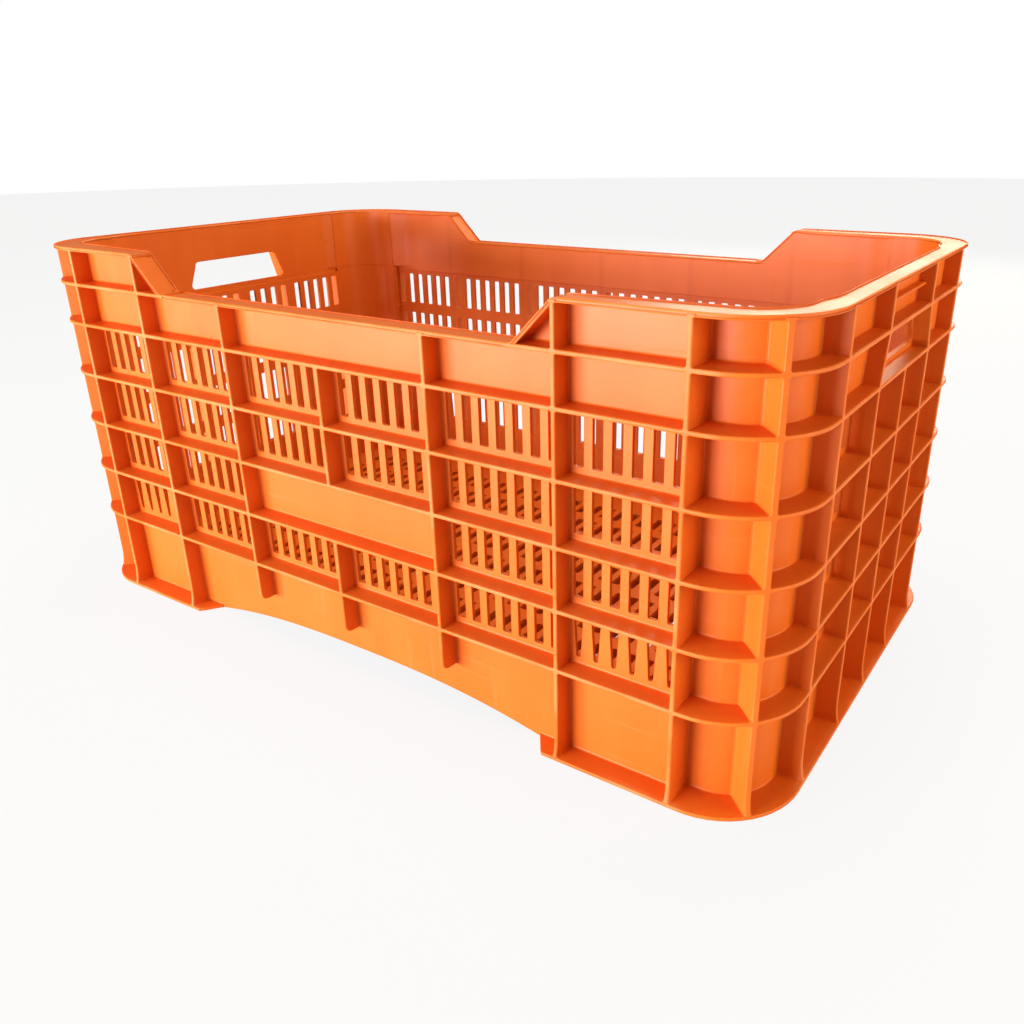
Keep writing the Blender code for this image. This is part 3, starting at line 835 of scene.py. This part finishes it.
class Term:
    """A shader value that Python arithmetic can be written with; each operator adds one Math node."""

    def __init__(self, kit, socket):
        self.kit = kit
        self.socket = socket

    def maths(self, operation, first, second=None):
        values = {0: first} if second is None else {0: first, 1: second}
        return self.kit.node("ShaderNodeMath", {"operation": operation}, values)

    def __add__(self, other):
        return self.maths("ADD", self, other)

    def __radd__(self, other):
        return self.maths("ADD", other, self)

    def __sub__(self, other):
        return self.maths("SUBTRACT", self, other)

    def __rsub__(self, other):
        return self.maths("SUBTRACT", other, self)

    def __mul__(self, other):
        return self.maths("MULTIPLY", self, other)

    def __rmul__(self, other):
        return self.maths("MULTIPLY", other, self)

    def __abs__(self):
        return self.maths("ABSOLUTE", self)

    def larger(self, other):
        return self.maths("MAXIMUM", self, other)

    def clamped(self, low, high):
        return self.kit.node("ShaderNodeMapRange", {"interpolation_type": "SMOOTHSTEP"},
                             {"Value": self, "From Min": low, "From Max": high})


class ShaderKit:
    """Adds nodes to the tree of a material or of the world."""

    def __init__(self, owner):
        owner.use_nodes = True
        self.tree = owner.node_tree

    def node(self, kind, settings=None, inputs=None, output=0):
        """Add a node, make its settings, then set or link its inputs; returns one output as a Term."""
        made = self.tree.nodes.new(kind)
        for key, value in (settings or {}).items():
            setattr(made, key, value)
        for key, value in (inputs or {}).items():
            if isinstance(value, Term):
                self.tree.links.new(value.socket, made.inputs[key])
            else:
                made.inputs[key].default_value = value
        return Term(self, made.outputs[output])

    def mixed(self, factor, first, second):
        """Blend of two colours."""
        return self.node("ShaderNodeMix", {"data_type": "RGBA"}, {0: factor, 6: first, 7: second}, 2)

    def surface_for_camera(self, share, lit, seen, output):
        """Camera rays see share of one shader over the lit one; all other rays meet the lit one alone."""
        part = self.node("ShaderNodeLightPath") * share
        mix = self.node("ShaderNodeMixShader", {}, {0: part, 1: lit, 2: seen})
        self.tree.links.new(mix.socket, self.tree.nodes[output].inputs["Surface"])

    def noise(self, place, scale, detail, stretch=(1.0, 1.0, 1.0)):
        """Noise value on stretched object coordinates."""
        spot = self.node("ShaderNodeMapping", {}, {"Vector": place, "Scale": stretch})
        return self.node("ShaderNodeTexNoise", {}, {"Vector": spot, "Scale": scale, "Detail": detail})


class CRATE_OT_plastic(Operator):
    """Moulded polyethylene: flow marks, fine grain, scratches, rubbed wear and painted highlight on the rib
    tips and rim top, and painted shade in the sink lines
    """
    bl_idname = "crate.plastic"
    bl_label = "Plastic"

    def execute(self, context):
        colours = context.scene.crate_colours
        kit = ShaderKit(bpy.data.materials.new(PLASTIC_NAME))
        shader = kit.tree.nodes["Principled BSDF"]
        place = kit.node("ShaderNodeTexCoord", output=3)
        split = kit.node("ShaderNodeSeparateXYZ", {}, {0: place}).socket.node
        x, y, z = (Term(kit, socket) for socket in split.outputs)
        broad = kit.noise(place, 14.0, 3.0)
        flow = kit.noise(place, 40.0, 2.0, (1.0, 1.0, 0.12))
        grain = kit.noise(place, 900.0, 2.0)
        scratch = kit.noise(place, 160.0, 4.0, (1.0, 1.0, 0.08)).clamped(0.60, 0.72)
        scrape = kit.noise(place, 130.0, 4.0, (0.07, 0.07, 1.6)).clamped(0.61, 0.74)
        patches = kit.noise(place, 26.0, 4.0).clamped(0.40, 0.66)
        # Sink lines opposite the outer ribs on the band's inner face: a shallow dent in the bump, and painted
        # shade that darkens the colour.
        from_rib = kit.node("ShaderNodeMath", {"operation": "PINGPONG"}, {0: x, 1: 0.04})
        sink_dent_and_shade = 1.0 - from_rib.clamped(0.0008, 0.0035)
        sink_dent_and_shade = sink_dent_and_shade * (1.0 - abs(y).clamped(0.1508, 0.1514)) * abs(y).clamped(0.1480, 0.1485)
        # Outer rib and flange tips and the rim top are lightened in patches towards the scuff colour: partly
        # rubbed wear, partly painted highlight of the lit edges.
        beyond = (abs(x) - 0.2782).larger(abs(y) - 0.1634)
        rubbed_and_highlight = (beyond.clamped(0.0, 0.0016) * patches).larger((z - 0.2522).clamped(0.0, 0.001) * patches)
        tone = kit.mixed((broad * 0.6 + flow * 0.5).clamped(0.35, 0.75), tuple(colours.plastic) + (1.0,),
                         tuple(colours.deep) + (1.0,))
        # Painted shade: the sink lines are darkened towards a dark brown.
        tone = kit.mixed(sink_dent_and_shade * 0.18, tone, (0.45, 0.07, 0.004, 1.0))
        # Real scratches, plus the rubbed wear and painted highlight on the tips and rim top.
        marks = (scratch.larger(scrape)) * 0.07 + rubbed_and_highlight * 0.40
        colour = kit.mixed(marks, tone, tuple(colours.scuff_and_highlight) + (1.0,))
        rough = broad * 0.10 + scratch * 0.10 + scrape * 0.08 + rubbed_and_highlight * 0.12 + (colours.gloss - 0.05)
        height = grain * 0.35 + broad * 1.5 + flow * 0.6 - scratch * 0.5 - scrape * 0.4 - sink_dent_and_shade * 0.8
        bump = kit.node("ShaderNodeBump", {}, {"Height": height, "Strength": 0.30, "Distance": 0.0003})
        for term, name in ((colour, "Base Color"), (rough, "Roughness"), (bump, "Normal")):
            kit.tree.links.new(term.socket, shader.inputs[name])
        shader.inputs["IOR"].default_value = 1.50
        shader.inputs["Specular IOR Level"].default_value = 0.22
        return {"FINISHED"}


# ---------------------------------------------------------------- stage

def area_light(name, place, aim, size, power, colour):
    """Soft rectangular light turned towards a point."""
    lamp = bpy.data.lights.new(name, "AREA")
    lamp.shape = "RECTANGLE"
    lamp.size, lamp.size_y = size
    lamp.energy = power
    lamp.color = colour
    holder = bpy.data.objects.new(name, lamp)
    holder.location = place
    holder.rotation_euler = (Vector(aim) - Vector(place)).to_track_quat("-Z", "Y").to_euler()
    bpy.context.scene.collection.objects.link(holder)


class CRATE_OT_stage(Operator):
    """Pale floor, soft studio light and the camera"""
    bl_idname = "crate.stage"
    bl_label = "Stage"

    def execute(self, context):
        settings = context.scene.crate_stage
        self.floor()
        self.surroundings(settings.sky)
        middle = (0.0, 0.0, 0.12)
        warm = (1.0, 0.92, 0.70)
        area_light("key", (-0.72, -1.78, 0.24), middle, (1.4, 0.46), settings.key, (1.0, 1.0, 1.14))
        area_light("overhead", (0.0, 0.0, 1.9), middle, (1.0, 1.0), settings.overhead, warm)
        area_light("fill", (1.9, 0.15, 0.45), middle, (1.2, 0.9), settings.fill, warm)
        area_light("rear", (-0.2, 1.9, 0.9), middle, (1.2, 0.9), settings.rear, warm)
        self.camera(settings)
        context.scene.view_settings.view_transform = "Standard"
        context.scene.view_settings.look = "None"
        return {"FINISHED"}

    def floor(self):
        """A wide pale disc just under the crate."""
        rim = arc((0.0, 0.0), 6000.0, 0.0, 360.0, 65)[:-1]
        mesh = bpy.data.meshes.new("floor")
        mesh.from_pydata((lifted(rim, -0.2) * MM).tolist(), [], [list(range(64))])
        material = bpy.data.materials.new("pale floor")
        kit = ShaderKit(material)
        shader = kit.tree.nodes["Principled BSDF"]
        shader.inputs["Base Color"].default_value = (0.5, 0.5, 0.5, 1.0)
        shader.inputs["Roughness"].default_value = 0.8
        kit.surface_for_camera(0.88, Term(kit, shader.outputs[0]), kit.node("ShaderNodeEmission"),
                               "Material Output")
        mesh.materials.append(material)
        floor = bpy.data.objects.new("studio_floor", mesh)
        bpy.context.scene.collection.objects.link(floor)

    def surroundings(self, strength):
        """Even white surroundings."""
        world = bpy.context.scene.world or bpy.data.worlds.new("studio")
        bpy.context.scene.world = world
        kit = ShaderKit(world)
        lighting = kit.tree.nodes["Background"]
        lighting.inputs["Color"].default_value = (1.0, 0.95, 0.80, 1.0)
        lighting.inputs["Strength"].default_value = strength
        seen = kit.node("ShaderNodeBackground", {}, {"Color": (1.0, 1.0, 1.0, 1.0), "Strength": 1.0})
        kit.surface_for_camera(1.0, Term(kit, lighting.outputs[0]), seen, "World Output")

    def camera(self, settings):
        """Camera from heading, downward tilt and roll, with a small shift of the frame."""
        heading, tilt, roll = (math.radians(value) for value in settings.aim)
        level = math.cos(tilt)
        ahead = Vector((-math.sin(heading) * level, math.cos(heading) * level, -math.sin(tilt)))
        right = ahead.cross(Vector((0.0, 0.0, 1.0))).normalized()
        up = right.cross(ahead)
        turned_right = right * math.cos(roll) + up * math.sin(roll)
        turned_up = up * math.cos(roll) - right * math.sin(roll)
        lens = bpy.data.cameras.new("camera")
        lens.sensor_width = 36.0
        lens.lens = 31.64
        lens.shift_x = -0.0341
        lens.shift_y = -0.0010
        lens.clip_start = 0.02
        holder = bpy.data.objects.new("camera", lens)
        basis = Matrix((turned_right, turned_up, -ahead)).transposed().to_4x4()
        holder.matrix_world = Matrix.Translation(Vector(settings.eye)) @ basis
        bpy.context.scene.collection.objects.link(holder)
        bpy.context.scene.camera = holder


class CRATE_PT_panel(Panel):
    """Sizes, colours and steps of the crate"""
    bl_idname = "CRATE_PT_panel"
    bl_label = "Ventilated crate"
    bl_space_type = "VIEW_3D"
    bl_region_type = "UI"
    bl_category = "Crate"

    def draw(self, context):
        layout = self.layout
        for settings in (context.scene.crate_sizes, context.scene.crate_colours, context.scene.crate_stage):
            box = layout.box()
            for key in settings.__annotations__:
                box.prop(settings, key)
        for step in STEPS:
            layout.operator(step.bl_idname)


STEPS = (CRATE_OT_plastic, CRATE_OT_slotted_walls, CRATE_OT_plain_walls, CRATE_OT_flanges,
         CRATE_OT_foot_flange, CRATE_OT_rim, CRATE_OT_uprights, CRATE_OT_corner_posts, CRATE_OT_floor,
         CRATE_OT_stage)
SETTINGS = (CrateSizes, CrateColours, StageSettings)


def register():
    """Register the settings, steps and panel."""
    for item in SETTINGS + STEPS + (CRATE_PT_panel,):
        bpy.utils.register_class(item)
    bpy.types.Scene.crate_sizes = PointerProperty(type=CrateSizes)
    bpy.types.Scene.crate_colours = PointerProperty(type=CrateColours)
    bpy.types.Scene.crate_stage = PointerProperty(type=StageSettings)


def unregister():
    """Take them away again."""
    del bpy.types.Scene.crate_stage
    del bpy.types.Scene.crate_colours
    del bpy.types.Scene.crate_sizes
    for item in reversed(SETTINGS + STEPS + (CRATE_PT_panel,)):
        bpy.utils.unregister_class(item)


def main():
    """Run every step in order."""
    register()
    for step in STEPS:
        group, name = step.bl_idname.split(".")
        if getattr(getattr(bpy.ops, group), name)() != {"FINISHED"}:
            raise RuntimeError(step.bl_label + " did not finish")


if __name__ == "__main__":
    main()
